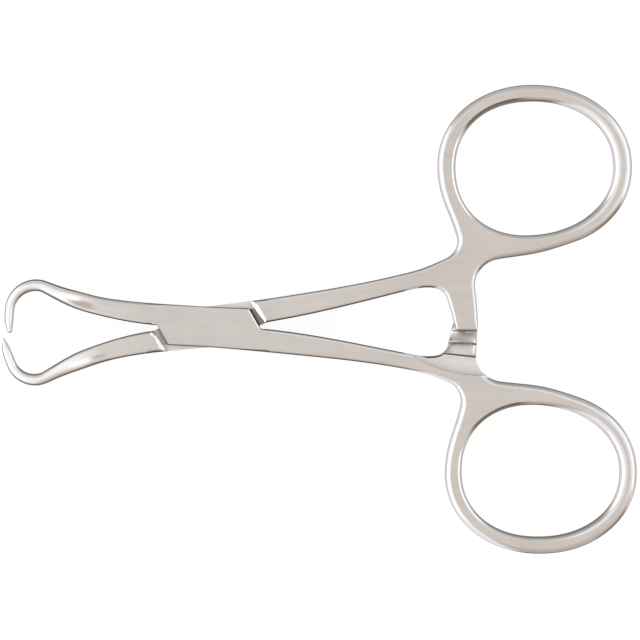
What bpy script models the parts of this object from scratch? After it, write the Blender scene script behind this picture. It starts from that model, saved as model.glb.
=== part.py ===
"""Towel clamp: two forged halves that cross in a box lock, and the pin that joins them.

The pivot axis is the Z axis and the underside of the box is z = 0. The rings are at +X and the
jaws at -X. The box half has its ring at -Y, the tongue half has its ring at +Y, and apart from
the lock and the points the two are mirror images.
"""

from collections import namedtuple
from math import acos, asin, atan2, copysign, cos, degrees, pi, radians, sin, sqrt

import bmesh
import bpy
from mathutils import Vector

MM = 0.001

# Box lock
BOX_THICKNESS = 4.4 * MM
BOX_HALF_WIDTH = 2.8 * MM
BOX_CORNER_OFFSET = 2.45 * MM
BOX_JAW_END_REACH = 6.05 * MM
BOX_SHANK_END_REACH = 6.26 * MM
BOX_END_ANGLE = 28.5
BOX_EDGE_ROUND = 0.22 * MM
SLOT_THICKNESS = 1.9 * MM
LOCK_CLEARANCE = 0.15 * MM
HUB_RADIUS = 2.85 * MM
SHOULDER_GAP = 0.6 * MM
SHOULDER_ANGLE = 33.3
SHOULDER_CHAMFER_WIDTH = 0.5 * MM
SHOULDER_CHAMFER_DEPTH = 0.28 * MM
CLOSED_ANGLE = -1.0
OPEN_ANGLE = 50.0

# Pin
PIN_RADIUS = 1.1 * MM
PIN_HEAD_RADIUS = 1.35 * MM
PIN_HEAD_DEPTH = 0.4 * MM
PIN_CLEARANCE = 0.05 * MM

# Shanks: forged alike, then ground by hand, which leaves the two a little different
SHANK_ROOT = 8.0 * MM
SHANK_ROOT_OFFSET = 2.07 * MM
SHANK_ROOT_WIDTH = 3.25 * MM
SHANK_END_GAP = 7.95 * MM
BOX_SHANK_OFFSET = 5.45 * MM
BOX_SHANK_WIDTH = 2.23 * MM
TONGUE_SHANK_OFFSET = 5.76 * MM
TONGUE_SHANK_WIDTH = 2.44 * MM
SHANK_BOW = 0.23 * MM
SHANK_THICKNESS = 3.1 * MM
SHANK_EDGE_ROUND = 0.42 * MM

# Ratchet arms
ARM_RADIUS = 35.95 * MM
ARM_TIP_WIDTH = 3.0 * MM
ARM_ROOT_WIDTH = 4.05 * MM
ARM_OUTER_MARGIN = 1.8 * MM
ARM_ROOT_REACH = 3.3 * MM
ARM_OUTER_REACH = 4.7 * MM
ARM_OVERLAP = 1.22 * MM
ARM_EDGE_ROUND = 0.5 * MM
ARM_TIP_ROUND = 0.3 * MM
TOOTH_PITCH = 1.74 * MM
TOOTH_DEPTH = 0.5 * MM
TOOTH_LEAN = 0.25 * MM
TOOTH_COUNT = 4
FIRST_TOOTH_REACH = 4.63 * MM
CREST_GAP = 0.3 * MM
RECESS_REACH = 7.6 * MM
RECESS_MILL_RADIUS = 17.5 * MM
RECESS_MILL_SHIFT = 2.25 * MM

# Finger rings: squarish ovals, their outside set a little off the hole, which tapers outwards
RING_BEYOND_ARM = 10.22 * MM
RING_HOLE_LENGTH = 22.2 * MM
RING_HOLE_POWER = 2.14
RING_HOLE_TAPER = 0.055
RING_OUTSIDE_POWER = 2.07
BOX_RING_OFFSET = 21.15 * MM
BOX_HOLE_WIDTH = 18.4 * MM
BOX_HOLE_TILT = 4.3
BOX_BAND_ENDS = 2.36 * MM
BOX_BAND_SIDES = 2.18 * MM
BOX_OUTSIDE_TILT = -0.3
TONGUE_RING_OFFSET = 21.34 * MM
TONGUE_HOLE_WIDTH = 18.7 * MM
TONGUE_HOLE_TILT = 2.9
TONGUE_BAND_ENDS = 2.55 * MM
TONGUE_BAND_SIDES = 2.09 * MM
TONGUE_OUTSIDE_TILT = -3.0
RING_OUTSIDE_RISE = 0.22 * MM
RING_OUTSIDE_SHIFT = 0.03 * MM
RING_THICKNESS = 2.8 * MM
RING_OUTER_ROUND = 0.75 * MM
RING_INNER_ROUND = 0.55 * MM
RING_ROUND_DEPTH = 0.85 * MM
RING_ARC_START = -68.0
RING_ARC_END = 190.0

# Webs between the rings and the arms: short runs past the arm, down the web's side and at its heel
WEB_NECK_GAP = 3.2 * MM
WEB_NECK_SLOPE = 7.0
BOX_NECK_OFFSET = 8.5 * MM
TONGUE_NECK_OFFSET = 8.68 * MM
WEB_SIDE_GAP = 1.02 * MM
WEB_SIDE_OFFSET = 12.5 * MM
WEB_SIDE_SLOPE = -74.0
WEB_HEEL_GAP = 2.55 * MM
WEB_HEEL_SLOPE = 23.0
BOX_HEEL_OFFSET = 8.37 * MM
TONGUE_HEEL_OFFSET = 8.87 * MM

# Jaws: each bar is a chain of arcs, as (length, turn in degrees, away from the other jaw), and
# the places of its waist, bend, neck and horn are shares of its length
JAW_ROOT = 7.5 * MM
JAW_ROOT_OFFSET = 1.92 * MM
JAW_ROOT_SLOPE = 5.6
BOX_JAW_RUNS = ((7.7 * MM, 7.7), (8.1 * MM, 14.0), (1.5 * MM, -28.0), (5.3 * MM, -81.0))
TONGUE_JAW_RUNS = ((7.0 * MM, 9.7), (9.1 * MM, 12.8), (1.2 * MM, -20.5), (4.6 * MM, -75.3))
BOX_POINT_TURN = -14.8
TONGUE_POINT_TURN = -10.7
POINT_GAP = 0.7 * MM
POINT_LINE = 0.66 * MM
BOX_POINT_WIDTH = 0.72 * MM
TONGUE_POINT_WIDTH = 0.4 * MM
JAW_ROOT_WIDTH = 3.05 * MM
JAW_WAIST_WIDTH = 2.55 * MM
JAW_BEND_WIDTH = 1.66 * MM
JAW_NECK_WIDTH = 1.3 * MM
JAW_WAIST_THICKNESS = 2.73 * MM
JAW_BEND_THICKNESS = 1.9 * MM
JAW_NECK_THICKNESS = 1.35 * MM
HORN_ROUNDNESS = 0.9
HORN_START = 0.25
HORN_FULL = 0.6
WAIST_PLACE = 0.38
BEND_PLACE = 0.66
NECK_PLACE = 0.92

# How finely curves are stepped
ROUND_STEPS = 3
BLEND_STEPS = 12
PIN_STEPS = 48
RING_STEP = 5.0
RUN_STEP = 1.2 * MM
LEAST_SPREAD = 0.01 * MM
BEND_STEP = 0.5 * MM

ARM_OUTER_RADIUS = ARM_RADIUS + ARM_OUTER_MARGIN
ARM_ROOT_RADIUS = ARM_OUTER_RADIUS - ARM_ROOT_WIDTH
ARM_TIP_INNER_RADIUS = ARM_OUTER_RADIUS - ARM_TIP_WIDTH
MID_HEIGHT = BOX_THICKNESS / 2
TONGUE_THICKNESS = SLOT_THICKNESS - 2 * LOCK_CLEARANCE

# A point of a half's outline: its place, the half thickness there, and how far the edge rounding
# reaches inwards and down
Rim = namedtuple("Rim", "at half inset drop")

# What sets one half's handle apart: its shank's end, its web's edges and its ring
Handle = namedtuple(
    "Handle",
    "shank_offset shank_width neck_offset heel_offset"
    " ring_offset hole_width hole_tilt band_ends band_sides outside_tilt",
)
BOX_HANDLE = Handle(
    shank_offset=BOX_SHANK_OFFSET,
    shank_width=BOX_SHANK_WIDTH,
    neck_offset=BOX_NECK_OFFSET,
    heel_offset=BOX_HEEL_OFFSET,
    ring_offset=BOX_RING_OFFSET,
    hole_width=BOX_HOLE_WIDTH,
    hole_tilt=BOX_HOLE_TILT,
    band_ends=BOX_BAND_ENDS,
    band_sides=BOX_BAND_SIDES,
    outside_tilt=BOX_OUTSIDE_TILT,
)
TONGUE_HANDLE = Handle(
    shank_offset=TONGUE_SHANK_OFFSET,
    shank_width=TONGUE_SHANK_WIDTH,
    neck_offset=TONGUE_NECK_OFFSET,
    heel_offset=TONGUE_HEEL_OFFSET,
    ring_offset=TONGUE_RING_OFFSET,
    hole_width=TONGUE_HOLE_WIDTH,
    hole_tilt=TONGUE_HOLE_TILT,
    band_ends=TONGUE_BAND_ENDS,
    band_sides=TONGUE_BAND_SIDES,
    outside_tilt=TONGUE_OUTSIDE_TILT,
)


def ease(share):
    """Runs smoothly from 0 to 1 as share does."""
    share = min(max(share, 0.0), 1.0)
    return share * share * (3 - 2 * share)


def between(a, b, share):
    return a + (b - a) * share


def heading(angle):
    return Vector((cos(radians(angle)), sin(radians(angle))))


def bearing(point):
    return degrees(atan2(point.y, point.x))


def left_of(direction):
    return Vector((-direction.y, direction.x))


def bezier(a, b, c, d, share):
    rest = 1 - share
    return a * rest**3 + b * 3 * rest**2 * share + c * 3 * rest * share**2 + d * share**3


def blend(before, after, fullness=0.38):
    """Rim points of a curve that leaves one stretch and enters the next without a corner."""
    first, last = before[-1], after[0]
    reach = (last.at - first.at).length * fullness
    leave = first.at + (first.at - before[-2].at).normalized() * reach
    enter = last.at - (after[1].at - last.at).normalized() * reach
    rims = []
    for step in range(1, BLEND_STEPS):
        share = step / BLEND_STEPS
        rims.append(
            Rim(
                bezier(first.at, leave, enter, last.at, share),
                between(first.half, last.half, share),
                between(first.inset, last.inset, share),
                between(first.drop, last.drop, share),
            )
        )
    return rims


def rounded_corner(rim, before, after, radius):
    """The corner at rim as a short arc between the directions to the points beside it."""
    start = rim.at + (before - rim.at).normalized() * radius
    end = rim.at + (after - rim.at).normalized() * radius
    arc = [bezier(start, rim.at, rim.at, end, share) for share in (0.0, 0.35, 0.65, 1.0)]
    return [rim._replace(at=point) for point in arc]


def tangent_bearing(point, radius, side):
    """Where a line through the point touches a circle about the pivot, as a bearing in degrees."""
    return bearing(point) + side * degrees(acos(radius / point.length))


def handle_half(x):
    """Half the thickness of the handle at a distance from the pivot."""
    shank = between(BOX_THICKNESS, SHANK_THICKNESS, ease((x - SHANK_ROOT) / (ARM_ROOT_RADIUS - SHANK_ROOT)))
    ring = between(shank, RING_THICKNESS, ease((x - ARM_ROOT_RADIUS) / RING_BEYOND_ARM))
    return ring / 2


def shank_edges(handle):
    """The shank's two edges from the box to the web, as (inner, outer) lists of rims."""
    root = Vector((SHANK_ROOT, SHANK_ROOT_OFFSET))
    end = Vector((ARM_RADIUS - SHANK_END_GAP, handle.shank_offset))
    span = end - root
    inner, outer = [], []
    steps = max(4, round(span.length / (2 * RUN_STEP)))
    for step in range(steps + 1):
        share = step / steps
        sag = left_of(span.normalized()) * (-SHANK_BOW * 4 * share * (1 - share))
        centre = root + span * share + sag
        slope = (span + left_of(span.normalized()) * (-SHANK_BOW * 4 * (1 - 2 * share))).normalized()
        width = between(SHANK_ROOT_WIDTH, handle.shank_width, ease(share))
        half = handle_half(centre.x)
        across = left_of(slope) * (width / 2)
        inner.append(Rim(centre - across, half, SHANK_EDGE_ROUND, SHANK_EDGE_ROUND))
        outer.append(Rim(centre + across, half, SHANK_EDGE_ROUND, SHANK_EDGE_ROUND))
    return inner, outer


def oval(centre, length, width, tilt, power, taper, angles):
    """Points of an oval at the given angles; a power above 2 fills its corners."""
    along, across = heading(tilt), left_of(heading(tilt))
    points = []
    for angle in map(radians, angles):
        reach = copysign(abs(cos(angle)) ** (2 / power), cos(angle))
        rise = copysign(abs(sin(angle)) ** (2 / power), sin(angle)) * (1 - taper * reach)
        points.append(centre + along * (reach * length / 2) + across * (rise * width / 2))
    return points


def ring_rim(at, inset):
    half = handle_half(at.x)
    return Rim(at, half, inset, min(RING_ROUND_DEPTH, half * HORN_ROUNDNESS))


def ring_outside(handle):
    """The ring's outer edge, from the web's neck round to the web's side."""
    place = (ARM_RADIUS + RING_BEYOND_ARM + RING_OUTSIDE_SHIFT, handle.ring_offset + RING_OUTSIDE_RISE)
    length = RING_HOLE_LENGTH + 2 * handle.band_ends
    width = handle.hole_width + 2 * handle.band_sides
    steps = round((RING_ARC_END - RING_ARC_START) / RING_STEP)
    angles = [between(RING_ARC_START, RING_ARC_END, step / steps) for step in range(steps + 1)]
    arc = oval(Vector(place), length, width, handle.outside_tilt, RING_OUTSIDE_POWER, 0, angles)
    return [ring_rim(at, RING_OUTER_ROUND) for at in arc]


def web_neck(handle):
    """The run of the web's edge past the arm, on the side towards the other half."""
    start = Vector((ARM_OUTER_RADIUS + WEB_NECK_GAP, handle.neck_offset))
    run = heading(WEB_NECK_SLOPE) * RUN_STEP
    return [ring_rim(start + run * n, RING_OUTER_ROUND) for n in range(4)]


def web_side():
    """The run of the web's edge between the ring's outer side and the heel."""
    start = Vector((ARM_RADIUS - WEB_SIDE_GAP, WEB_SIDE_OFFSET))
    run = heading(WEB_SIDE_SLOPE) * (RUN_STEP / 2)
    return [ring_rim(start + run * n, RING_OUTER_ROUND) for n in range(2)]


def web_heel(handle):
    """The short run of the web's edge between the web's side and the shank."""
    start = Vector((ARM_RADIUS - WEB_HEEL_GAP, handle.heel_offset))
    end = start - heading(WEB_HEEL_SLOPE) * RUN_STEP
    return [Rim(at, handle_half(at.x), SHANK_EDGE_ROUND, SHANK_EDGE_ROUND) for at in (start, end)]


def ring_hole(handle):
    """The finger hole's edge, clockwise, so that the metal is on its left."""
    place = (ARM_RADIUS + RING_BEYOND_ARM, handle.ring_offset)
    angles = [-RING_STEP * step for step in range(round(360 / RING_STEP))]
    size = (RING_HOLE_LENGTH, handle.hole_width, handle.hole_tilt)
    points = oval(Vector(place), *size, RING_HOLE_POWER, RING_HOLE_TAPER, angles)
    return [ring_rim(at, RING_INNER_ROUND) for at in points]


def arm_edges():
    """The ratchet arm's edges: its inner side down to the tip, and its outer side back up."""
    half = handle_half(ARM_RADIUS)
    rounding = (half, ARM_EDGE_ROUND, ARM_EDGE_ROUND)
    tip_angle = degrees(-ARM_OVERLAP / ARM_RADIUS)
    root_angle = degrees(ARM_ROOT_REACH / ARM_ROOT_RADIUS)
    outer_angle = degrees(ARM_OUTER_REACH / ARM_OUTER_RADIUS)
    root = heading(root_angle) * ARM_ROOT_RADIUS
    tip_inner = heading(tip_angle) * ARM_TIP_INNER_RADIUS
    tip_outer = heading(tip_angle) * ARM_OUTER_RADIUS
    inner = [Rim(root.lerp(tip_inner, share), *rounding) for share in (0.0, 0.3, 0.6)]
    outer_angles = [between(tip_angle, outer_angle, share) for share in (0.25, 0.5, 0.75, 1.0)]
    outer = [Rim(heading(angle) * ARM_OUTER_RADIUS, *rounding) for angle in outer_angles]
    tip_rounding = (half, ARM_TIP_ROUND, ARM_TIP_ROUND)
    corner_a = rounded_corner(Rim(tip_inner, *tip_rounding), root, tip_outer, 2 * ARM_TIP_ROUND)
    corner_b = rounded_corner(Rim(tip_outer, *tip_rounding), tip_inner, outer[0].at, 2 * ARM_TIP_ROUND)
    return inner + corner_a + corner_b + outer


def jaw_bar(runs, point_turn, point_reach):
    """The jaw's centre line, as (place, direction) from the box to the point."""
    place = Vector((-JAW_ROOT, -JAW_ROOT_OFFSET))
    slope = JAW_ROOT_SLOPE
    bar = []
    last_slope = slope + sum(turn for _, turn in runs) + point_turn / 2
    for length, turn in runs + ((None, point_turn),):
        if length is None:
            length = (-place.y - point_reach) / -sin(radians(last_slope))
        steps = max(2, round(length / (BEND_STEP if abs(turn) > 14 else RUN_STEP)))
        for step in range(steps):
            bar.append((place.copy(), -heading(slope)))
            place = place - heading(slope + turn / steps / 2) * (length / steps)
            slope += turn / steps
    bar.append((place, -heading(slope)))
    return bar


def jaw_edges(bar, point_width):
    """The jaw's edges from the box: along its inner side, round the point and back."""
    lengths = [0.0]
    for (a, _), (b, _) in zip(bar, bar[1:]):
        lengths.append(lengths[-1] + (b - a).length)
    stations = (
        (0.0, JAW_ROOT_WIDTH, BOX_THICKNESS),
        (WAIST_PLACE, JAW_WAIST_WIDTH, JAW_WAIST_THICKNESS),
        (BEND_PLACE, JAW_BEND_WIDTH, JAW_BEND_THICKNESS),
        (NECK_PLACE, JAW_NECK_WIDTH, JAW_NECK_THICKNESS),
        (1.0, point_width, point_width),
    )
    inner, outer = [], []
    for (place, direction), length in zip(bar, lengths):
        share = length / lengths[-1]
        above = next(n for n in range(1, len(stations)) if share <= stations[n][0] + 1e-9)
        low, high = stations[above - 1], stations[above]
        local = (share - low[0]) / (high[0] - low[0])
        local = ease(local) if above < len(stations) - 1 else local * local
        width = between(low[1], high[1], local)
        half = between(low[2], high[2], local) / 2
        horn = ease((share - HORN_START) / (HORN_FULL - HORN_START))
        inset = between(SHANK_EDGE_ROUND, HORN_ROUNDNESS * width / 2, horn)
        drop = between(SHANK_EDGE_ROUND, HORN_ROUNDNESS * half, horn)
        across = left_of(direction) * (width / 2)
        inner.append(Rim(place - across, half, inset, drop))
        outer.append(Rim(place + across, half, inset, drop))
    place, direction = bar[-1]
    swings = [direction * cos(a) + left_of(direction) * sin(a) for a in map(radians, (-60, -20, 20, 60))]
    cap = [inner[-1]._replace(at=place + swing * (point_width / 2)) for swing in swings]
    return inner, cap, outer[::-1]


def box_end(side):
    """One slanted end of the box's cheeks: a point of its line, and the line's direction."""
    if side > 0:
        normal, reach = heading(180 - BOX_END_ANGLE), BOX_JAW_END_REACH
    else:
        normal, reach = heading(-BOX_END_ANGLE), BOX_SHANK_END_REACH
    return normal * reach, left_of(normal)


def along_line(place, direction, height):
    """The point of a line at a given height in the plan."""
    return place + direction * ((height - place.y) / direction.y)


def box_outline_middle(jaw_in, jaw_out, shank_in, shank_out):
    """The box half's edges where the halves cross: cheeks that end on a slant at both sides."""
    def edge(at):
        return Rim(at, BOX_THICKNESS / 2, BOX_EDGE_ROUND, BOX_EDGE_ROUND)

    def run(first, last, side):
        waist = Vector((0, side * BOX_HALF_WIDTH))
        place, direction = box_end(side)
        corner = along_line(place, direction, side * BOX_CORNER_OFFSET)
        inner = along_line(place, direction, last.at.y)
        points = [first.at.lerp(waist, share) for share in (0.35, 0.7, 1.0)]
        rims = [edge(at) for at in points + [waist.lerp(corner, 0.5)]]
        rims += rounded_corner(edge(corner), waist, inner, BOX_EDGE_ROUND)
        return rims + rounded_corner(edge(inner), corner, last.at, 2 * BOX_EDGE_ROUND)

    return run(shank_out, jaw_in, 1), run(jaw_out, shank_in, -1)


def tongue_outline_middle(jaw_in, jaw_out, shank_in, shank_out):
    """The tongue half's edges where the halves cross: straight runs that touch a round hub."""
    def run(first, last):
        start = tangent_bearing(first.at, HUB_RADIUS, 1)
        end = tangent_bearing(last.at, HUB_RADIUS, -1)
        end += 360 * (end < start)
        points = [heading(between(start, end, share)) * HUB_RADIUS for share in (0.0, 0.33, 0.66, 1.0)]
        touch, leave = points[0], points[-1]
        points = [first.at.lerp(touch, 0.35), first.at.lerp(touch, 0.7)] + points
        points += [leave.lerp(last.at, 0.35), leave.lerp(last.at, 0.7)]
        return [Rim(at, BOX_THICKNESS / 2, SHANK_EDGE_ROUND, SHANK_EDGE_ROUND) for at in points]

    return run(shank_out, jaw_in), run(jaw_out, shank_in)


def joined(stretches):
    """One run of rims through all the stretches, with a blend between each and the next."""
    rims = list(stretches[0])
    for before, after in zip(stretches, stretches[1:]):
        rims += blend(before, after) + after
    return rims


def half_outline(middle, handle, runs, point_turn, point_reach, point_width):
    """A half's outer edge, counterclockwise, with its ring at +Y and its jaw at -Y."""
    shank_in, shank_out = shank_edges(handle)
    stretches = [shank_in, arm_edges(), web_neck(handle), ring_outside(handle)]
    stretches += [web_side(), web_heel(handle), shank_out[::-1]]
    jaw_in, cap, jaw_out = jaw_edges(jaw_bar(runs, point_turn, point_reach), point_width)
    upper, lower = middle(jaw_in[0], jaw_out[-1], shank_in[0], shank_out[0])
    return joined(stretches) + upper + jaw_in + cap + jaw_out + lower


def inset_places(rims):
    """Each rim point and the direction that the edge rounding takes from it, into the metal."""
    places = []
    for before, rim, after in zip(rims[-1:] + rims[:-1], rims, rims[1:] + rims[:1]):
        arrive = left_of((rim.at - before.at).normalized())
        leave = left_of((after.at - rim.at).normalized())
        inwards = (arrive + leave).normalized()
        places.append((rim, inwards / max(inwards.dot(arrive), 0.6)))
    return places


def edge_rows(mesh, rims, mirror):
    """The edge of a plate as rows of vertices, from its upper face down to its lower one."""
    rows = []
    for side in (1, -1):
        steps = range(ROUND_STEPS + 1) if side > 0 else range(ROUND_STEPS, -1, -1)
        for step in steps:
            angle = pi / 2 * step / ROUND_STEPS
            row = []
            for rim, inwards in inset_places(rims):
                at = rim.at + inwards * (rim.inset * (1 - sin(angle)))
                height = rim.half - rim.drop * (1 - cos(angle))
                row.append(mesh.verts.new((at.x, at.y * mirror, MID_HEIGHT + side * height)))
            rows.append(row)
    return rows


def close_loop(mesh, upper, lower):
    for n in range(len(upper)):
        after = (n + 1) % len(upper)
        mesh.faces.new((upper[n], lower[n], lower[after], upper[after]))


def forged_plate(name, outline, hole, mirror):
    """A solid from an outline and a hole, flat above and below, with rounded edges."""
    mesh = bmesh.new()
    top_edges, below = [], {}
    for rims in (outline, hole):
        rows = edge_rows(mesh, rims, mirror)
        for upper, lower in zip(rows, rows[1:]):
            close_loop(mesh, upper, lower)
        below.update(zip(rows[0], rows[-1]))
        top_edges += [mesh.edges.get((a, b)) for a, b in zip(rows[0], rows[0][1:] + rows[0][:1])]
    filled = bmesh.ops.triangle_fill(mesh, use_beauty=True, edges=top_edges, normal=(0, 0, 1))
    for face in [item for item in filled["geom"] if isinstance(item, bmesh.types.BMFace)]:
        mesh.faces.new([below[vert] for vert in reversed(face.verts)])
    bmesh.ops.recalc_face_normals(mesh, faces=mesh.faces)
    return new_object(name, mesh)


def new_object(name, mesh):
    data = bpy.data.meshes.new(name)
    mesh.to_mesh(data)
    mesh.free()
    piece = bpy.data.objects.new(name, data)
    bpy.context.collection.objects.link(piece)
    return piece


def prism(name, points, low, high):
    """A cutter that stands on a flat outline."""
    mesh = bmesh.new()
    base = mesh.faces.new([mesh.verts.new((point.x, point.y, low)) for point in points])
    raised = bmesh.ops.extrude_face_region(mesh, geom=[base])
    moved = [item for item in raised["geom"] if isinstance(item, bmesh.types.BMVert)]
    bmesh.ops.translate(mesh, vec=(0, 0, high - low), verts=moved)
    bmesh.ops.recalc_face_normals(mesh, faces=mesh.faces)
    return new_object(name, mesh)


def turned(name, profile):
    """A solid turned about the pivot from (radius, height) points, lowest first."""
    mesh = bmesh.new()
    rows = []
    for radius, height in profile:
        angles = [2 * pi * step / PIN_STEPS for step in range(PIN_STEPS)]
        rows.append([mesh.verts.new((radius * cos(a), radius * sin(a), height)) for a in angles])
    for lower, upper in zip(rows, rows[1:]):
        close_loop(mesh, upper, lower)
    mesh.faces.new(rows[0][::-1])
    mesh.faces.new(rows[-1])
    return new_object(name, mesh)


def pin_profile(clearance, overshoot):
    """The pin's outline: straight, and spread at both ends where it is riveted."""
    shaft, head = PIN_RADIUS + clearance, PIN_HEAD_RADIUS + clearance
    return (
        (head, -overshoot),
        (head, 0.0),
        (shaft, PIN_HEAD_DEPTH),
        (shaft, BOX_THICKNESS - PIN_HEAD_DEPTH),
        (head, BOX_THICKNESS),
        (head, BOX_THICKNESS + overshoot),
    )


def slot_cutter():
    """The room in the box for the tongue at every angle, with the walls left at two sides."""
    shank_in, shank_out = shank_edges(TONGUE_HANDLE)
    jaw_in, _, jaw_out = jaw_edges(jaw_bar(TONGUE_JAW_RUNS, TONGUE_POINT_TURN, 0), TONGUE_POINT_WIDTH)
    reach = HUB_RADIUS + LOCK_CLEARANCE
    far = SHANK_ROOT + HUB_RADIUS
    outline = []
    for closed_rim, open_rim in ((jaw_in[0], shank_out[0]), (shank_in[0], jaw_out[-1])):
        closed = tangent_bearing(closed_rim.at, HUB_RADIUS, -1) + CLOSED_ANGLE
        opened = tangent_bearing(open_rim.at, HUB_RADIUS, 1) + OPEN_ANGLE
        middle = heading(between(closed, opened, 0.5))
        corner = middle * (reach / cos(radians((opened - closed) / 2)))
        outline.append(corner + heading(opened - 90) * far)
        outline.append(corner)
        outline.append(corner + heading(closed + 90) * far)
    half_slot = SLOT_THICKNESS / 2
    return prism("cutter_slot", outline, MID_HEIGHT - half_slot, MID_HEIGHT + half_slot)


def cheek_cutter(name, side):
    """What is milled off one face of the tongue half between its two shoulders."""
    floor = side * TONGUE_THICKNESS / 2
    face = side * BOX_THICKNESS / 2
    beyond = side * BOX_THICKNESS
    edge = face - side * SHOULDER_CHAMFER_DEPTH
    jaw_side = -BOX_JAW_END_REACH - SHOULDER_GAP
    shank_side = BOX_SHANK_END_REACH + SHOULDER_GAP
    jaw_wide = jaw_side - SHOULDER_CHAMFER_WIDTH
    shank_wide = shank_side + SHOULDER_CHAMFER_WIDTH
    section = (
        (jaw_side, floor),
        (shank_side, floor),
        (shank_side, edge),
        (shank_wide, face),
        (shank_wide, beyond),
        (jaw_wide, beyond),
        (jaw_wide, face),
        (jaw_side, edge),
    )
    across = heading(SHOULDER_ANGLE)
    along = left_of(across) * (shank_side + HUB_RADIUS)
    mesh = bmesh.new()
    ends = []
    for end in (-1, 1):
        points = [across * reach + along * end for reach, _ in section]
        heights = [MID_HEIGHT + height for _, height in section]
        ends.append([mesh.verts.new((p.x, p.y, z)) for p, z in zip(points, heights)])
    close_loop(mesh, ends[0], ends[1])
    mesh.faces.new(ends[0])
    mesh.faces.new(ends[1][::-1])
    bmesh.ops.recalc_face_normals(mesh, faces=mesh.faces)
    return new_object(name, mesh)


def ratchet_rows():
    """The milled surface as (angle, depth): it rises to each tooth's crest and drops steeply behind."""
    crest, valley = CREST_GAP / 2, CREST_GAP / 2 + TOOTH_DEPTH
    pitch = TOOTH_PITCH / ARM_RADIUS
    lean = TOOTH_LEAN / ARM_RADIUS
    first = FIRST_TOOTH_REACH / ARM_RADIUS
    rows = [(first - TOOTH_COUNT * pitch + lean, valley)]
    for tooth in range(TOOTH_COUNT - 1, -1, -1):
        rows.append((first - tooth * pitch, crest))
        rows.append((first - tooth * pitch + lean, valley))
    return rows


def mill_limits(angle):
    """Where a ray from the pivot crosses the milled recess's round end, as near and far radius."""
    centre = Vector((ARM_RADIUS + RECESS_MILL_SHIFT, RECESS_REACH - RECESS_MILL_RADIUS))
    ray = heading(degrees(angle))
    middle = centre.dot(ray)
    inside = RECESS_MILL_RADIUS**2 - centre.length_squared + middle**2
    spread = sqrt(max(inside, LEAST_SPREAD**2))
    near = max(middle - spread, ARM_ROOT_RADIUS - 2 * ARM_ROOT_REACH)
    far = min(middle + spread, ARM_OUTER_RADIUS + ARM_ROOT_REACH)
    return near, far


def recess_end():
    """The bearing at which a ray from the pivot only just touches the recess's round end."""
    centre = Vector((ARM_RADIUS + RECESS_MILL_SHIFT, RECESS_REACH - RECESS_MILL_RADIUS))
    return radians(bearing(centre)) + asin(RECESS_MILL_RADIUS / centre.length)


def recess_cutter(name, mirror):
    """What is milled off an arm: down to the teeth, and flat from the last tooth to a round end."""
    rows = ratchet_rows()
    last, valley = rows[-1]
    end = recess_end()
    rows += [(between(last, end, share), valley) for share in (0.35, 0.6, 0.8, 0.92, 0.98)]
    mesh = bmesh.new()
    sections = []
    for angle, depth in rows:
        near, far = mill_limits(angle)
        ray = heading(degrees(angle))
        section = []
        for reach, height in ((near, -BOX_THICKNESS), (near, depth), (far, depth), (far, -BOX_THICKNESS)):
            place = (ray.x * reach, ray.y * reach * mirror, MID_HEIGHT + height * mirror)
            section.append(mesh.verts.new(place))
        sections.append(section)
    for section, after in zip(sections, sections[1:]):
        close_loop(mesh, section, after)
    mesh.faces.new(sections[0])
    mesh.faces.new(sections[-1][::-1])
    bmesh.ops.triangulate(mesh, faces=mesh.faces)
    bmesh.ops.recalc_face_normals(mesh, faces=mesh.faces)
    return new_object(name, mesh)


def cut(piece, cutter):
    cutter.hide_render = True
    cutter.display_type = "WIRE"
    modifier = piece.modifiers.new(cutter.name, "BOOLEAN")
    modifier.operation = "DIFFERENCE"
    modifier.solver = "EXACT"
    modifier.object = cutter


def finish(piece, colour, roughness):
    """A steel of its own, and smooth shading between the real edges."""
    steel = bpy.data.materials.new(piece.name)
    steel.use_nodes = True
    shader = steel.node_tree.nodes["Principled BSDF"]
    shader.inputs["Base Color"].default_value = colour
    shader.inputs["Metallic"].default_value = 1.0
    shader.inputs["Roughness"].default_value = roughness
    piece.data.materials.append(steel)
    piece.data.shade_smooth()
    piece.data.set_sharp_from_angle(angle=radians(30))


def build_tongue_half():
    point_reach = POINT_LINE + POINT_GAP / 2 + TONGUE_POINT_WIDTH / 2
    outline = half_outline(
        tongue_outline_middle,
        TONGUE_HANDLE,
        TONGUE_JAW_RUNS,
        TONGUE_POINT_TURN,
        point_reach,
        TONGUE_POINT_WIDTH,
    )
    piece = forged_plate("tongue_half", outline, ring_hole(TONGUE_HANDLE), 1)
    cut(piece, cheek_cutter("cutter_upper_cheek", 1))
    cut(piece, cheek_cutter("cutter_lower_cheek", -1))
    bore = PIN_RADIUS + PIN_CLEARANCE
    cut(piece, turned("cutter_tongue_bore", ((bore, 0.0), (bore, BOX_THICKNESS))))
    cut(piece, recess_cutter("cutter_tongue_ratchet", 1))
    finish(piece, (0.62, 0.58, 0.55, 1), 0.32)


def build_box_half():
    point_reach = -POINT_LINE + POINT_GAP / 2 + BOX_POINT_WIDTH / 2
    outline = half_outline(
        box_outline_middle, BOX_HANDLE, BOX_JAW_RUNS, BOX_POINT_TURN, point_reach, BOX_POINT_WIDTH
    )
    piece = forged_plate("box_half", outline, ring_hole(BOX_HANDLE), -1)
    cut(piece, slot_cutter())
    cut(piece, turned("cutter_box_bore", pin_profile(PIN_CLEARANCE, BOX_THICKNESS)))
    cut(piece, recess_cutter("cutter_box_ratchet", -1))
    finish(piece, (0.62, 0.58, 0.55, 1), 0.32)


def build_lock_pin():
    piece = turned("lock_pin", pin_profile(0.0, 0.0)[1:-1])
    finish(piece, (0.58, 0.55, 0.53, 1), 0.35)


for leftover in list(bpy.data.objects):
    bpy.data.objects.remove(leftover)

build_box_half()
build_tongue_half()
build_lock_pin()
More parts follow.
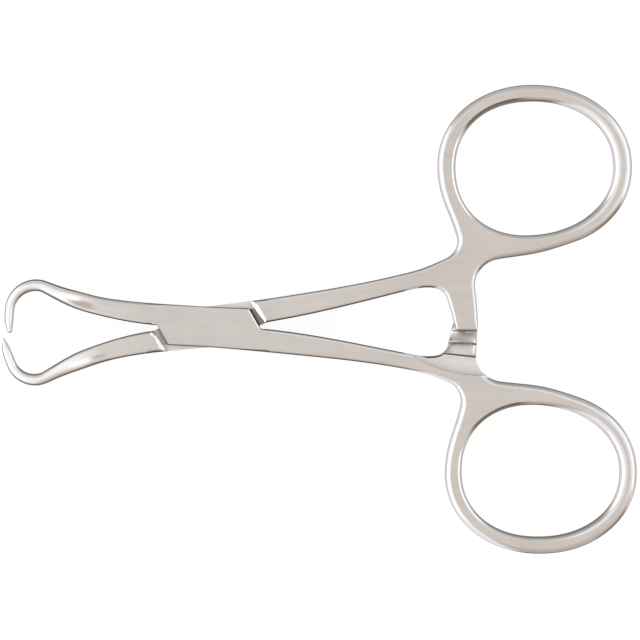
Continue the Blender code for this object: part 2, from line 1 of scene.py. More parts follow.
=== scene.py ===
"""The looks of the towel clamp: its two forged halves and its pin, ground, brushed and polished."""

from math import copysign, cos, pi, radians, sin, sqrt
from types import SimpleNamespace

import bmesh
import bpy
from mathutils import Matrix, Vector


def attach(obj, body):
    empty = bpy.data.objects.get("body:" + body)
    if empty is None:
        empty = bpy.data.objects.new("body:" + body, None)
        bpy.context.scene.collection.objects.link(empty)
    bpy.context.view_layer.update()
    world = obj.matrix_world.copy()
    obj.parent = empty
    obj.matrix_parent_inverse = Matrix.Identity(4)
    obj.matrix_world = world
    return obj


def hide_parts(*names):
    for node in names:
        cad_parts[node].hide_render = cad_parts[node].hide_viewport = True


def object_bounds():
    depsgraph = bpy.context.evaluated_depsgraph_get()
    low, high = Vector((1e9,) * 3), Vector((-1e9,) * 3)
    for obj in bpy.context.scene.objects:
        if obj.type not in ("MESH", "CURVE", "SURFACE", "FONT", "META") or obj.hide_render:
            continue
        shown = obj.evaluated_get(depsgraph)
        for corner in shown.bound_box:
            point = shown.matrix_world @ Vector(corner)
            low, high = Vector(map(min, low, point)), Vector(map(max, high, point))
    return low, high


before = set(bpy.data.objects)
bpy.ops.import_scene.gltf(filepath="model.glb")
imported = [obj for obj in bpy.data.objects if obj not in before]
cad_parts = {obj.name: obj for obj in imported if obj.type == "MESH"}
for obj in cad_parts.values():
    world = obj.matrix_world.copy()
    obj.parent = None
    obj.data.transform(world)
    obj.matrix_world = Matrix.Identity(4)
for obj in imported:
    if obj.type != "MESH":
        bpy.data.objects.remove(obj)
cad_low, cad_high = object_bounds()

MM = 0.001

# The photograph's view: straight down, with the clamp's centre line rising a little to the right
VIEW_CENTRE = (15.68 * MM, 0.64 * MM, 2.2 * MM)
VIEW_WIDTH = 89.74 * MM
VIEW_ROLL = radians(-1.15)
CAMERA_HEIGHT = 480 * MM
SENSOR = 36.0

# Steel: the flats, buffed edges and horns, milled seats and side walls, painted highlights on the chamfers,
# painted shade in the gaps, and soft spots on the flats, some of them painted reflections. The tones by
# direction are painted reflections of what the walls and edges mirror
BOX_STEEL = (0.622, 0.583, 0.552, 1)
RING_STEEL = (0.62, 0.572, 0.53, 1)
WEB_STEEL = (0.68, 0.64, 0.61, 1)
PEENED_STEEL = (0.605, 0.57, 0.54, 1)
BUFFED_STEEL = (0.80, 0.785, 0.79, 1)
HORN_STEEL = (0.90, 0.885, 0.88, 1)
# Painted highlight on the chamfers beside the box, and painted shade on the box's left end
CHAMFER_HIGHLIGHT = (0.96, 0.955, 0.955, 1)
LEFT_END_PAINTED_SHADE = (0.40, 0.38, 0.37, 1)
MILLED_STEEL = (0.76, 0.74, 0.725, 1)
# Painted reflections on the walls and roundings, by the way they face
HORN_SIDE_REFLECTION = (0.34, 0.31, 0.30, 1)
LEFT_WALL_REFLECTION = (0.78, 0.76, 0.80, 1)
RIGHT_WALL_REFLECTION = (0.52, 0.51, 0.525, 1)
BACK_WALL_REFLECTION = (0.15, 0.145, 0.14, 1)
FRONT_WALL_REFLECTION = (0.085, 0.065, 0.055, 1)
HORN_FRONT_REFLECTION = (0.22, 0.18, 0.16, 1)
RING_FRONT_REFLECTION = (0.15, 0.115, 0.095, 1)
RING_BACK_REFLECTION = (0.17, 0.165, 0.16, 1)
# Plain steel for the upright walls
SIDE_STEEL = (0.47, 0.45, 0.435, 1)
# Painted reflection on the walls of the ratchet arms
ARM_WALL_REFLECTION = (0.30, 0.25, 0.22, 1)
# Painted shade on the finger holes' edges and the rings' far corners
HOLE_CORNER_PAINTED_SHADE = (0.26, 0.22, 0.19, 1)
GRAZING_TINT = (0.5, 0.46, 0.44, 1)
# Painted shade in the gaps at the box's ends: deepest in the gap, paler on the seat beyond it
DEEP_BROWN_GAP_SHADE = (0.035, 0.024, 0.018, 1)
PALE_BROWN_GAP_SHADE = (0.38, 0.31, 0.26, 1)
DEEP_GREY_GAP_SHADE = (0.34, 0.33, 0.325, 1)
PALE_GREY_GAP_SHADE = (0.66, 0.65, 0.65, 1)
# Painted reflection: a brown patch on each jaw's flat
BROWN_REFLECTION = (0.50, 0.42, 0.37, 1)
# A darker spot on the tongue's jaw
JAW_DARK_SPOT = (0.52, 0.47, 0.43, 1)
# Painted highlight: a white patch on each jaw's flat
BRIGHT_HIGHLIGHT = (1.0, 1.0, 1.0, 1)
FLAT_ROUGHNESS = 0.36
BUFFED_ROUGHNESS = 0.15
HORN_ROUGHNESS = 0.32
MILLED_ROUGHNESS = 0.45
LINE_ROUGHNESS = 0.12
GRAIN_LENGTH = 14 * MM
GRAIN_WIDTH = 0.16 * MM
FINE_SHARE = 0.7
COARSE_SHARE = 0.5
GRAIN_CONTRAST = 0.26
GRAIN_RELIEF = 0.12
GRAIN_DEPTH = 0.02 * MM
CLOUD_SCALE = 150.0
CLOUD_CONTRAST = 0.2

# The floor, the cards and the lamps
WHITE = (1.0, 1.0, 1.0, 1)
PAPER_GREY = (0.8, 0.8, 0.8, 1)
PAPER_WHITE = 1.08
PAPER_GLOW = 0.88
FLOOR_SIZE = 3.0
CARD_HEIGHT = 0.22
CARD_DEPTH = 0.5
CARD_TILT = radians(60)
CARD_FADE = (0.05, 0.4)
FRONT_CARD = ((0.75, 0.70, 0.65, 1), (0.64, 0.56, 0.49, 1))
BACK_CARD = (WHITE, (0.62, 0.61, 0.58, 1))
ROOM_LIGHT = 0.6
ROOM_LIGHT_SEEN = 0.4

# Outputs of the Texture Coordinate and Light Path nodes
NORMAL = 1
PLACE = 3
CAMERA_RAY = 0
MIRRORED_RAY = 3
THROUGH_RAY = 6

# A face this level is a ground flat, and a fold this sharp is a real edge
LEVEL_FACE = 0.9995
NEARLY_LEVEL = 0.99
FLOOR_FACE = 0.9999
REAL_EDGE = radians(40)

# Places on the clamp
BOX_THICKNESS = 4.4 * MM
MID_HEIGHT = BOX_THICKNESS / 2
HORN_START = -14.0 * MM
HORN_FULL = -19.0 * MM
BOX_END_REACH = 6.05 * MM
BOX_END_ANGLE = radians(28.5)
SHOULDER_REACH = 6.8 * MM
CHEEK_WIDTH = 2.35 * MM
ARM_START = 30.0 * MM
ARM_END = 38.5 * MM
RECESS_REACH = 6.5 * MM
TEETH_REACH = 4.75 * MM
ARM_REACH = 9.0 * MM
ARM_HALF_THICKNESS = 0.75 * MM
TOOTH_END_BREAK = 0.3 * MM
TOOTH_FLOOR = 0.05 * MM
MILL_CENTRE = (38.2 * MM, -9.9 * MM)
MILL_RADIUS = 17.5 * MM
RING_CENTRE = (46.2 * MM, 21.25 * MM)
RING_MIDDLE = (12.3 * MM, 10.4 * MM)
RING_BAND = (0.85, 1.2)
RING_HALF = 1.4 * MM
RING_ROUND_DEPTH = 0.85 * MM
HOLE_BEVEL_EXTRA = 0.45 * MM
OUTER_BEVEL_EXTRA = 0.2 * MM
BORE_RADIUS = 1.40 * MM
PIN_SHAFT_RADIUS = 1.145 * MM
PIN_HEAD_DEPTH = 0.4 * MM
PIN_SEAT = 0.002 * MM

# Where one region gives way to the next, along the clamp and beside its centre line
HORN_SPAN = (HORN_FULL, HORN_START)
JAW_SPAN = (-10 * MM, -8 * MM)
SEAT_SPAN = (-9.0 * MM, -8.5 * MM)
MIDDLE_SPAN = (-1.0 * MM, 1.0 * MM)
BOX_SPAN = (8 * MM, 9 * MM)
GAP_SPAN = (10 * MM, 11 * MM)
WARM_SPAN = (0.0, 34 * MM)
LEFT_TONE_SPAN = (0, 20 * MM)
LOWER_LEFT_SPAN = (20 * MM, 26 * MM)
RING_SPAN = (30 * MM, 36 * MM)
ARM_FRONT_SPAN = (32 * MM, 33 * MM)
ARM_BACK_SPAN = (40 * MM, 41 * MM)
ARM_WALL_SPAN = (RECESS_REACH, RECESS_REACH + 1 * MM)
SEAT_DEPTH_SPAN = (0.95 * MM, 1.05 * MM)
GAP_START_SPAN = (BOX_END_REACH - 0.1 * MM, BOX_END_REACH)
GAP_SEAT_SPAN = (BOX_END_REACH + 0.1 * MM, SHOULDER_REACH)
BOX_END_SPAN = (BOX_END_REACH + 0.1 * MM, BOX_END_REACH + 0.3 * MM)
CHEEK_SPAN = (CHEEK_WIDTH, CHEEK_WIDTH + 0.15 * MM)
MILL_WALL_SPAN = (0.3 * MM, 0.42 * MM)
HOLE_SPAN = (0.98, 1.02)

# How level a face lies, from 0 for a wall to 1 for a flat, where one look gives way to the next
FLAT_TILT = (0.955, 0.992)
MILLED_TILT = (0.85, 0.93)
WALL_TILT = (0.62, 0.91)
RING_WALL_TILT = (0.35, 0.97)
STANDING_TILT = (0.02, 0.08)
CHAMFER_TILT = (0.7, 0.8)
CORNER_TILT = (0.72, 0.88)
JAW_LEVELLING = 0.2
HORN_LEVELLING = 0.12
FRONT_STEEPENING = 0.06
BOX_STEEPENING = 0.1

# How far a face looks east, to the rings, or north, to the tongue half's ring
FRONT_FACING = (-0.5, -0.1)
BACK_FACING = (0.1, 0.5)
FRONT_OR_BACK = (-0.4, 0.4)
LEFT_OR_RIGHT = (-0.3, 0.3)
LEFT_FACING = (-0.3, -0.12)
END_FACING = (0.35, 0.85)
SLANT_FACING = (0.75, 0.88)
LONG_SIDE_FACING = (0.88, 0.97)
HOLE_CORNER_WAY = (0.47, -0.88)
HOLE_CORNER_FACING = (0.86, 0.95)
FAR_CORNER_WAY = (0.70, -0.71)
FAR_CORNER_FACING = (0.95, 0.99)


class Level:
    """A value that varies over a surface. Arithmetic on it adds Math nodes."""

    def __init__(self, finish, socket):
        self.finish = finish
        self.socket = socket

    def math(self, operation, *values):
        sockets = dict(enumerate(values))
        return self.finish.node("ShaderNodeMath", {"operation": operation}, sockets)

    def __add__(self, other):
        return self.math("ADD", self, other)

    __radd__ = __add__

    def __mul__(self, other):
        return self.math("MULTIPLY", self, other)

    __rmul__ = __mul__

    def __sub__(self, other):
        return self.math("SUBTRACT", self, other)

    def __rsub__(self, other):
        return self.math("SUBTRACT", other, self)

    def __truediv__(self, other):
        return self.math("DIVIDE", self, other)

    def __abs__(self):
        return self.math("ABSOLUTE", self)


class Finish:
    """One material, and the nodes that shade it."""

    def __init__(self, name):
        self.material = bpy.data.materials.new(name)
        self.material.use_nodes = True
        self.tree = self.material.node_tree
        self.tree.nodes.clear()

    def node(self, kind, settings, sockets, output=0):
        made = self.tree.nodes.new(kind)
        for name, value in settings.items():
            setattr(made, name, value)
        for name, value in sockets.items():
            if isinstance(value, Level):
                self.tree.links.new(value.socket, made.inputs[name])
            else:
                made.inputs[name].default_value = value
        return Level(self, made.outputs[output] if made.outputs else None)

    def axes(self, vector):
        return [self.node("ShaderNodeSeparateXYZ", {}, {0: vector}, axis) for axis in range(3)]

    def between(self, level, low, high, start=0.0, end=1.0):
        """The level taken from low..high to start..end with an eased ramp."""
        settings = {"interpolation_type": "SMOOTHSTEP", "clamp": True}
        sockets = {0: level, 1: low, 2: high, 3: start, 4: end}
        return self.node("ShaderNodeMapRange", settings, sockets)

    def rise(self, level, span):
        """From 0 at the span's start to 1 at its end."""
        return self.between(level, *span)

    def fall(self, level, span):
        """From 1 at the span's start to 0 at its end."""
        return self.between(level, *span, 1.0, 0.0)

    def larger(self, first, second):
        return self.node("ShaderNodeMath", {"operation": "MAXIMUM"}, {0: first, 1: second})

    def mixed(self, share, first, second):
        """One colour where share is 0 and the other where it is 1."""
        sockets = {0: share, 6: first, 7: second}
        return self.node("ShaderNodeMix", {"data_type": "RGBA"}, sockets, 2)

    def scaled(self, colour, factor):
        sockets = {0: colour, "Scale": factor}
        return self.node("ShaderNodeVectorMath", {"operation": "SCALE"}, sockets)

    def patch(self, place, centre, length, width, turn):
        """A soft oval spot on the clamp: 1 in its middle and 0 at its rim."""
        sockets = {0: place, 1: (*centre, 0), 2: (0, 0, turn), 3: (length, width, 1)}
        local = self.node("ShaderNodeMapping", {"vector_type": "TEXTURE"}, sockets)
        level = self.node("ShaderNodeTexGradient", {"gradient_type": "SPHERICAL"}, {0: local}, 1)
        return self.between(level, 0.0, 0.7)

    def distance(self, first, second):
        square = first * first + second * second
        return square.math("SQRT", square)

    def surface(self, shader):
        self.node("ShaderNodeOutputMaterial", {}, {0: shader})


def find_regions(finish):
    """The clamp's regions and the ways its faces look, each from 0 to 1."""
    at = SimpleNamespace()
    at.place = finish.node("ShaderNodeTexCoord", {}, {}, PLACE)
    facing = finish.node("ShaderNodeTexCoord", {}, {}, NORMAL)
    at.x, at.y, z = finish.axes(at.place)
    nx, ny, nz = finish.axes(facing)
    across = finish.larger(finish.distance(nx, ny), 0.01)
    at.east = nx / across
    at.north = ny / across
    at.upright = abs(nz)
    at.horn = finish.fall(at.x, HORN_SPAN)
    at.ring = finish.rise(at.x, RING_SPAN)
    at.box = finish.fall(abs(at.x), BOX_SPAN)
    at.right = finish.rise(at.x, MIDDLE_SPAN)
    at.beyond = abs(at.x * cos(BOX_END_ANGLE) + at.y * sin(BOX_END_ANGLE))
    at.flat = finish.rise(at.upright + finish.fall(at.x, JAW_SPAN) * JAW_LEVELLING, FLAT_TILT)
    at.ground = at.flat * (1 - at.horn)
    at.milled = finish.fall(abs(z - MID_HEIGHT), SEAT_DEPTH_SPAN) * finish.rise(at.upright, MILLED_TILT)
    at.milled = at.milled * finish.rise(at.x, SEAT_SPAN)
    at.standing = finish.fall(at.upright, STANDING_TILT)
    return at


def grain(finish, place, lie, length, width, detail):
    """Noise drawn out into fine lines at the angle lie."""
    turned = finish.node("ShaderNodeMapping", {}, {0: place, 2: (0, 0, -lie)})
    scale = (1 / length, 1 / width, 1 / width)
    stretched = finish.node("ShaderNodeVectorMath", {"operation": "MULTIPLY"}, {0: turned, 1: scale})
    return finish.node("ShaderNodeTexNoise", {}, {0: stretched, "Scale": 1.0, "Detail": detail})


def flat_tone(finish, at, marks_and_reflections):
    """The flats, warmer towards the rings, the buffed edges and the seats that were milled, and soft spots
    on the flats, some of them painted reflections and highlights.
    """
    buffed = finish.mixed(at.horn, BUFFED_STEEL, HORN_STEEL)
    tone = finish.mixed(finish.rise(at.x, WARM_SPAN), BOX_STEEL, RING_STEEL)
    tone = finish.mixed(at.ground, buffed, tone)
    tone = finish.mixed(at.milled, tone, MILLED_STEEL)
    for colour, *oval in marks_and_reflections:
        tone = finish.mixed(finish.patch(at.place, *oval) * at.flat, tone, colour)
    return tone


def add_gap_shade(finish, at, tone):
    """Painted shade in the narrow gaps at the box's ends, browner in the right one."""
    gap = finish.rise(at.beyond, GAP_START_SPAN) * at.milled
    gap = gap * finish.fall(abs(at.y), CHEEK_SPAN)
    gap = gap * finish.fall(abs(at.x), GAP_SPAN)
    gap_shade = finish.mixed(at.right, DEEP_GREY_GAP_SHADE, DEEP_BROWN_GAP_SHADE)
    seat = finish.mixed(at.right, PALE_GREY_GAP_SHADE, PALE_BROWN_GAP_SHADE)
    gap_shade = finish.mixed(finish.rise(at.beyond, GAP_SEAT_SPAN), gap_shade, seat)
    return finish.mixed(gap, tone, gap_shade)


def long_wall_reflection(finish, at):
    """Painted reflections on the walls along the clamp, browner in front than behind."""
    front = finish.mixed(at.ring, FRONT_WALL_REFLECTION, RING_FRONT_REFLECTION)
    front = finish.mixed(at.horn, front, HORN_FRONT_REFLECTION)
    back = finish.mixed(at.ring, BACK_WALL_REFLECTION, RING_BACK_REFLECTION)
    tone = finish.mixed(finish.rise(at.north, FRONT_OR_BACK), front, back)
    arm = finish.rise(at.x, ARM_FRONT_SPAN) * finish.fall(at.x, ARM_BACK_SPAN)
    arm = arm * finish.fall(abs(at.y), ARM_WALL_SPAN)
    return finish.mixed(arm, tone, ARM_WALL_REFLECTION)


def end_wall_reflection(finish, at):
    """Painted reflections on the walls that look along the clamp."""
    left = finish.mixed(finish.rise(at.x, LEFT_TONE_SPAN), HORN_SIDE_REFLECTION, LEFT_WALL_REFLECTION)
    return finish.mixed(finish.rise(at.east, LEFT_OR_RIGHT), left, RIGHT_WALL_REFLECTION)


def add_walls(finish, at, tone):
    """Painted reflections on the side walls and steep roundings. A ring's are graded from its rim to its
    flat.
    """
    front = finish.fall(at.north, FRONT_FACING)
    back = finish.rise(at.north, BACK_FACING)
    on_box = at.box * finish.rise(abs(at.north), LONG_SIDE_FACING)
    lean = at.horn * HORN_LEVELLING - front * (1 - at.ring) * FRONT_STEEPENING - on_box * BOX_STEEPENING
    wall = finish.fall(at.upright + lean, WALL_TILT)
    graded = finish.fall(at.upright, RING_WALL_TILT)
    wall = wall + (graded - wall) * at.ring * finish.larger(front, back)
    mill = finish.distance(at.x - MILL_CENTRE[0], abs(at.y) - MILL_CENTRE[1])
    wall = wall * finish.rise(abs(mill - MILL_RADIUS), MILL_WALL_SPAN)
    lower_left = finish.fall(at.east, LEFT_FACING) * front * finish.rise(at.x, LOWER_LEFT_SPAN)
    end = finish.larger(lower_left, finish.fall(abs(at.north), END_FACING))
    walls = finish.mixed(end, long_wall_reflection(finish, at), end_wall_reflection(finish, at))
    tone = finish.mixed(wall, tone, walls)
    return finish.mixed(at.standing, tone, SIDE_STEEL)


def add_chamfers(finish, at, tone):
    """The chamfers beside the box are polished, with a painted highlight, but the box's own left end gets
    painted shade.
    """
    chamfer = at.box * finish.fall(abs(at.north), SLANT_FACING) * (1 - at.flat)
    chamfer = chamfer * finish.rise(at.upright, CHAMFER_TILT)
    left_end = (1 - at.right) * finish.fall(at.beyond, BOX_END_SPAN)
    return finish.mixed(chamfer, tone, finish.mixed(left_end, CHAMFER_HIGHLIGHT, LEFT_END_PAINTED_SHADE))


def add_corners(finish, at, tone):
    """Painted shade: a finger hole's edge is dark on the side away from the light, and so is a ring's far
    corner.
    """
    round_x = (at.x - RING_CENTRE[0]) / RING_MIDDLE[0]
    round_y = (abs(at.y) - RING_CENTRE[1]) / RING_MIDDLE[1]
    inner = finish.fall(finish.distance(round_x, round_y), HOLE_SPAN)
    hole_way = at.east * HOLE_CORNER_WAY[0] + at.north * HOLE_CORNER_WAY[1]
    far_way = at.east * FAR_CORNER_WAY[0] + at.north * FAR_CORNER_WAY[1]
    hole = finish.rise(hole_way, HOLE_CORNER_FACING) * inner
    far = finish.rise(far_way, FAR_CORNER_FACING) * (1 - inner) * at.ring
    far = far * finish.fall(at.upright, CORNER_TILT)
    return finish.mixed(finish.larger(hole, far) * (1 - at.flat), tone, HOLE_CORNER_PAINTED_SHADE)


def steel(name, lie, marks_and_reflections):
    """Stainless steel: ground flats with fine lines at the angle lie, and buffed edges, with painted
    reflections, highlights and shade in its colour.

    Marks and reflections are soft spots on the flats, as (colour, centre, length, width, turn): marks,
    painted reflections and painted highlights.
    """
    finish = Finish(name)
    at = find_regions(finish)
    tone = flat_tone(finish, at, marks_and_reflections)
    for add in (add_gap_shade, add_walls, add_chamfers, add_corners):
        tone = add(finish, at, tone)

    fine = grain(finish, at.place, lie, GRAIN_LENGTH, GRAIN_WIDTH, 3.0)
    coarse = grain(finish, at.place, lie, 3 * GRAIN_LENGTH, 5 * GRAIN_WIDTH, 2.0)
    lines = ((fine - 0.5) * FINE_SHARE + (coarse - 0.5) * COARSE_SHARE) * at.ground
    cloud = finish.node("ShaderNodeTexNoise", {}, {0: at.place, "Scale": CLOUD_SCALE, "Detail": 3.0})
    tone = finish.scaled(tone, 1 + lines * GRAIN_CONTRAST + (cloud - 0.5) * CLOUD_CONTRAST)

    more = FLAT_ROUGHNESS - BUFFED_ROUGHNESS
    rough = BUFFED_ROUGHNESS + at.horn * (HORN_ROUGHNESS - BUFFED_ROUGHNESS)
    rough = rough + at.standing * (1 - at.horn) * more
    rough = rough + at.ground * more + lines * LINE_ROUGHNESS
    rough = finish.larger(rough, at.milled * MILLED_ROUGHNESS)
    sockets = {"Strength": GRAIN_RELIEF, "Distance": GRAIN_DEPTH, "Height": fine * at.ground}
    relief = finish.node("ShaderNodeBump", {}, sockets)
    sockets = {"Base Color": tone, "Metallic": 1.0, "Roughness": rough, "Normal": relief}
    sockets["Specular Tint"] = GRAZING_TINT
    finish.surface(finish.node("ShaderNodeBsdfPrincipled", {}, sockets))
    return finish.material


def start_fresh():
    """Nothing selected and nothing in edit mode, before a piece is made."""
    if bpy.context.object and bpy.context.object.mode != "OBJECT":
        bpy.ops.object.mode_set(mode="OBJECT")
    bpy.ops.object.select_all(action="DESELECT")


def clamped(value):
    return min(max(value, 0.0), 1.0)


def mark_creases(piece):
    """Holds the real edges and the flats' borders while the rest is smoothed. The horns turn round."""
    mesh = bmesh.new()
    mesh.from_mesh(piece.data)
    crease = mesh.edges.layers.float.new("crease_edge")
    for edge in mesh.edges:
        levels = [abs(face.normal.z) > NEARLY_LEVEL for face in edge.link_faces]
        place = (edge.verts[0].co.x + edge.verts[1].co.x) / 2
        if edge.calc_face_angle(0.0) > REAL_EDGE:
            edge[crease] = 1.0
        elif any(levels) and not all(levels):
            edge[crease] = clamped((place - HORN_FULL) / (HORN_START - HORN_FULL))
    mesh.to_mesh(piece.data)
    mesh.free()


def pick_recess_floor(piece):
    """The level faces under and around the teeth."""
    bpy.ops.mesh.select_mode(type="FACE")
    bpy.ops.mesh.select_all(action="DESELECT")
    mesh = bmesh.from_edit_mesh(piece.data)
    for face in mesh.faces:
        middle = face.calc_center_median()
        inside = ARM_START - MM < middle.x < ARM_END + 4 * MM and abs(middle.y) < ARM_REACH
        low = abs(middle.z - MID_HEIGHT) < ARM_HALF_THICKNESS
        face.select = inside and low and abs(face.normal.z) > FLOOR_FACE
    mesh.select_flush_mode()
    bmesh.update_edit_mesh(piece.data)


def soften_teeth(piece):
    """Breaks the ends of the ratchet's teeth, where the milling ran out through the arm's sides."""
    mesh = bmesh.from_edit_mesh(piece.data)
    for edge in mesh.edges:
        edge.select = False
        if len(edge.link_faces) != 2:
            continue
        tilts = sorted(abs(face.normal.z) for face in edge.link_faces)
        middle = (edge.verts[0].co + edge.verts[1].co) / 2
        on_arm = ARM_START < middle.x < ARM_END and abs(middle.y) < TEETH_REACH
        milled = TOOTH_FLOOR < abs(middle.z - MID_HEIGHT) < ARM_HALF_THICKNESS
        if on_arm and milled and tilts[0] < 0.3 and tilts[1] > 0.8:
            edge.select = True
    bmesh.update_edit_mesh(piece.data)
    bpy.ops.mesh.select_mode(type="EDGE")
    bpy.ops.mesh.bevel(offset=TOOTH_END_BREAK, segments=1, affect="EDGES")


def widen_ring_bevels(piece):
    """A ring's roundings widen towards its far end, and its flat narrows between them."""
    mesh = bmesh.from_edit_mesh(piece.data)
    for vertex in mesh.verts:
        place = vertex.co
        out = Vector((place.x - RING_CENTRE[0], place.y - copysign(RING_CENTRE[1], place.y), 0))
        reach = Vector((out.x / RING_MIDDLE[0], out.y / RING_MIDDLE[1])).length
        if out.x > 0 and RING_BAND[0] < reach < RING_BAND[1]:
            share = clamped((out.normalized().x - 0.1) / 0.7)
            fall = clamped((RING_HALF - abs(place.z - MID_HEIGHT)) / RING_ROUND_DEPTH)
            extra = HOLE_BEVEL_EXTRA if reach < 1.0 else -OUTER_BEVEL_EXTRA
            vertex.co += out.normalized() * (extra * share * (1 - sqrt(fall * (2 - fall))))
    bmesh.update_edit_mesh(piece.data)


def clean_copy(name, node):
    """A node's mesh as a piece of its own, merged and in edit mode."""
    start_fresh()
    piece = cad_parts[node].copy()
    piece.data = piece.data.copy()
    piece.name = name
    for key in list(piece.keys()):
        del piece[key]
    piece.parent = None
    bpy.context.collection.objects.link(piece)
    piece.select_set(True)
    bpy.context.view_layer.objects.active = piece
    bpy.ops.object.mode_set(mode="EDIT")
    bpy.ops.mesh.select_all(action="SELECT")
    bpy.ops.mesh.remove_doubles(threshold=0.002 * MM)
    bpy.ops.mesh.tris_convert_to_quads(face_threshold=radians(12), shape_threshold=radians(60))
    return piece


def forged_half(name, node, body, lie, marks_and_reflections):
    """A half of the clamp: its node's shape, with the edges and horns rounded more finely."""
    piece = clean_copy(name, node)
    pick_recess_floor(piece)
    bpy.ops.mesh.dissolve_limited(angle_limit=radians(0.3))
    soften_teeth(piece)
    pick_recess_floor(piece)
    bpy.ops.mesh.quads_convert_to_tris(quad_method="BEAUTY", ngon_method="BEAUTY")
    widen_ring_bevels(piece)
    bpy.ops.object.mode_set(mode="OBJECT")
    mark_creases(piece)
    smoothing = piece.modifiers.new("smoothing", "SUBSURF")
    smoothing.levels = 2
    smoothing.render_levels = 2
    bpy.ops.object.modifier_apply(modifier="smoothing")
    for vertex in piece.data.vertices:
        vertex.co.z = min(max(vertex.co.z, cad_low[2]), cad_high[2])
    bpy.ops.object.shade_smooth_by_angle(angle=REAL_EDGE)
    for face in piece.data.polygons:
        face.use_smooth = abs(face.normal.z) < LEVEL_FACE
    piece.data.materials.clear()
    piece.data.materials.append(steel(name, lie, marks_and_reflections))
    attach(piece, body)
    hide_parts(node)


def riveted_pin():
    """The pin, spread at both ends until it fills its bore flush with the box."""
    start_fresh()
    bpy.ops.mesh.primitive_circle_add(vertices=96, radius=BORE_RADIUS, fill_type="NGON", location=(0, 0, 0))
    pin = bpy.context.object
    pin.name = "riveted_pin"
    bpy.ops.object.mode_set(mode="EDIT")
    bpy.ops.mesh.select_all(action="SELECT")
    bpy.ops.transform.translate(value=(0, 0, PIN_SEAT))
    narrow = PIN_SHAFT_RADIUS / BORE_RADIUS
    straight = BOX_THICKNESS - 2 * PIN_HEAD_DEPTH - 2 * PIN_SEAT
    for rise, scale in ((PIN_HEAD_DEPTH, narrow), (straight, 1.0), (PIN_HEAD_DEPTH, 1 / narrow)):
        bpy.ops.mesh.extrude_region_move(TRANSFORM_OT_translate={"value": (0, 0, rise)})
        bpy.ops.transform.resize(value=(scale, scale, 1), center_override=(0, 0, 0))
    bpy.ops.mesh.select_all(action="SELECT")
    bpy.ops.mesh.normals_make_consistent(inside=False)
    bpy.ops.object.mode_set(mode="OBJECT")
    bpy.ops.object.shade_smooth_by_angle(angle=REAL_EDGE)
    pin.data.materials.append(steel("pin_steel", radians(-6), BOX_MARKS_AND_REFLECTIONS[:1]))
    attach(pin, "box_side")
    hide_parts("lock_pin")


def paper(name, colour, glow):
    """A pale matt finish. Where the camera and the metal see it, most of it is plain white."""
    finish = Finish(name)
    seen = finish.node("ShaderNodeLightPath", {}, {}, CAMERA_RAY)
    mirrored = finish.node("ShaderNodeLightPath", {}, {}, MIRRORED_RAY)
    through = finish.node("ShaderNodeLightPath", {}, {}, THROUGH_RAY)
    direct = finish.larger(seen, finish.larger(mirrored, through))
    matt = finish.node("ShaderNodeBsdfDiffuse", {}, {"Color": colour})
    lit = finish.node("ShaderNodeEmission", {}, {"Color": WHITE, "Strength": PAPER_WHITE})
    finish.surface(finish.node("ShaderNodeMixShader", {}, {0: direct * glow, 1: matt, 2: lit}))
    return finish.material


def lay_floor():
    """The white paper that the clamp lies on."""
    start_fresh()
    bpy.ops.mesh.primitive_plane_add(size=FLOOR_SIZE, location=(0, 0, 0))
    floor = bpy.context.object
    floor.name = "floor"
    floor.data.materials.append(paper("floor_paper", PAPER_GREY, PAPER_GLOW))


def hang_card(name, left, right, place_y, turn, top, bottom):
    """A card beside the set that the polished edges mirror. The camera doesn't see it."""
    start_fresh()
    place = ((left + right) / 2, place_y, CARD_HEIGHT)
    bpy.ops.mesh.primitive_plane_add(size=1.0, location=place, rotation=(CARD_TILT, 0, turn))
    card = bpy.context.object
    card.name = name
    card.scale = (right - left, CARD_DEPTH, 1)
    card.visible_camera = False
    card.visible_shadow = False
    finish = Finish(name)
    height = finish.axes(finish.node("ShaderNodeTexCoord", {}, {}, PLACE))[1]
    colour = finish.mixed(finish.rise(height, CARD_FADE), bottom, top)
    finish.surface(finish.node("ShaderNodeEmission", {}, {"Color": colour, "Strength": 1.0}))
    card.data.materials.append(finish.material)


def softbox(name, place, aim, width, height, radiance):
    """An area lamp whose face has the given brightness."""
    lamp = bpy.data.lights.new(name, "AREA")
    lamp.shape = "RECTANGLE"
    lamp.size = width
    lamp.size_y = height
    lamp.energy = radiance * pi * width * height
    holder = bpy.data.objects.new(name, lamp)
    holder.location = place
    holder.rotation_euler = aim
    bpy.context.scene.collection.objects.link(holder)


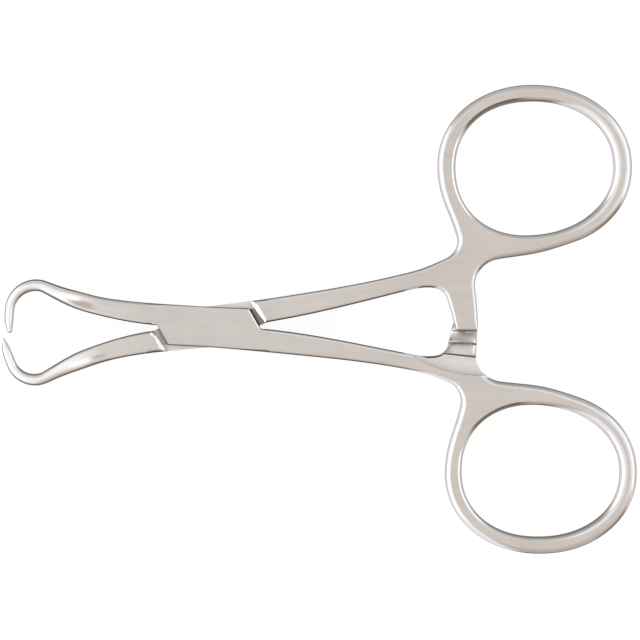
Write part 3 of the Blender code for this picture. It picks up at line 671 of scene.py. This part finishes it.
def light_set():
    """Two soft lamps in a white room, which the camera and the metal see at full white."""
    softbox("left_side", (-0.5, 0.0, 0.3), (0, radians(-60), 0), 0.5, 1.0, 0.7)
    softbox("right_side", (0.5, 0.15, 0.32), (0, radians(58), 0), 0.12, 0.6, 0.8)
    world = bpy.data.worlds.new("studio")
    bpy.context.scene.world = world
    world.use_nodes = True
    tree = world.node_tree
    ground = tree.nodes["Background"]
    path = tree.nodes.new("ShaderNodeLightPath")
    level = path.outputs[CAMERA_RAY]
    for output in (MIRRORED_RAY, THROUGH_RAY):
        either = tree.nodes.new("ShaderNodeMath")
        either.operation = "MAXIMUM"
        tree.links.new(level, either.inputs[0])
        tree.links.new(path.outputs[output], either.inputs[1])
        level = either.outputs[0]
    strength = tree.nodes.new("ShaderNodeMath")
    strength.operation = "MULTIPLY_ADD"
    strength.inputs[1].default_value = ROOM_LIGHT_SEEN
    strength.inputs[2].default_value = ROOM_LIGHT
    tree.links.new(level, strength.inputs[0])
    tree.links.new(strength.outputs[0], ground.inputs["Strength"])
    ground.inputs["Color"].default_value = WHITE


def set_camera():
    """Looks straight down on the clamp from above."""
    camera = bpy.data.cameras.new("camera")
    camera.sensor_width = SENSOR
    camera.lens = SENSOR * CAMERA_HEIGHT / VIEW_WIDTH
    camera.clip_start = 0.01
    camera.clip_end = 10.0
    holder = bpy.data.objects.new("camera", camera)
    holder.location = (VIEW_CENTRE[0], VIEW_CENTRE[1], VIEW_CENTRE[2] + CAMERA_HEIGHT)
    holder.rotation_euler = (0, 0, VIEW_ROLL)
    bpy.context.scene.collection.objects.link(holder)
    bpy.context.scene.camera = holder


# The box half's spots: a peened mark by the pin, a lighter web, and on the jaw a painted reflection and a
# painted highlight
BOX_MARKS_AND_REFLECTIONS = (
    (PEENED_STEEL, (0.1 * MM, 0.2 * MM), 2.2 * MM, 1.2 * MM, 0),
    (WEB_STEEL, (36.7 * MM, 8.2 * MM), 6 * MM, 4 * MM, 0),
    (BROWN_REFLECTION, (-17.6 * MM, 3.55 * MM), 3.2 * MM, 0.8 * MM, radians(-19)),
    (BRIGHT_HIGHLIGHT, (-19.25 * MM, 4.61 * MM), 2.4 * MM, 0.6 * MM, radians(-17)),
)
# The tongue half's spots: a lighter web, and on the jaw a painted reflection, a darker spot and a painted
# highlight
TONGUE_MARKS_AND_REFLECTIONS = (
    (WEB_STEEL, (36.7 * MM, -8.8 * MM), 6 * MM, 4 * MM, 0),
    (BROWN_REFLECTION, (-14.6 * MM, -4.8 * MM), 3.2 * MM, 0.6 * MM, radians(14)),
    (JAW_DARK_SPOT, (-15.3 * MM, -3.85 * MM), 1.5 * MM, 0.4 * MM, radians(12)),
    (BRIGHT_HIGHLIGHT, (-18.15 * MM, -4.77 * MM), 2.4 * MM, 0.7 * MM, radians(20)),
)

bpy.context.scene.view_settings.view_transform = "Standard"
forged_half("box_half_steel", "box_half", "box_side", radians(-6), BOX_MARKS_AND_REFLECTIONS)
forged_half("tongue_half_steel", "tongue_half", "tongue_side", radians(6), TONGUE_MARKS_AND_REFLECTIONS)
riveted_pin()
lay_floor()
hang_card("front_card", -0.04, 0.7, -0.3, 0, *FRONT_CARD)
hang_card("back_card", -0.32, 0.36, 0.3, pi, *BACK_CARD)
light_set()
set_camera()
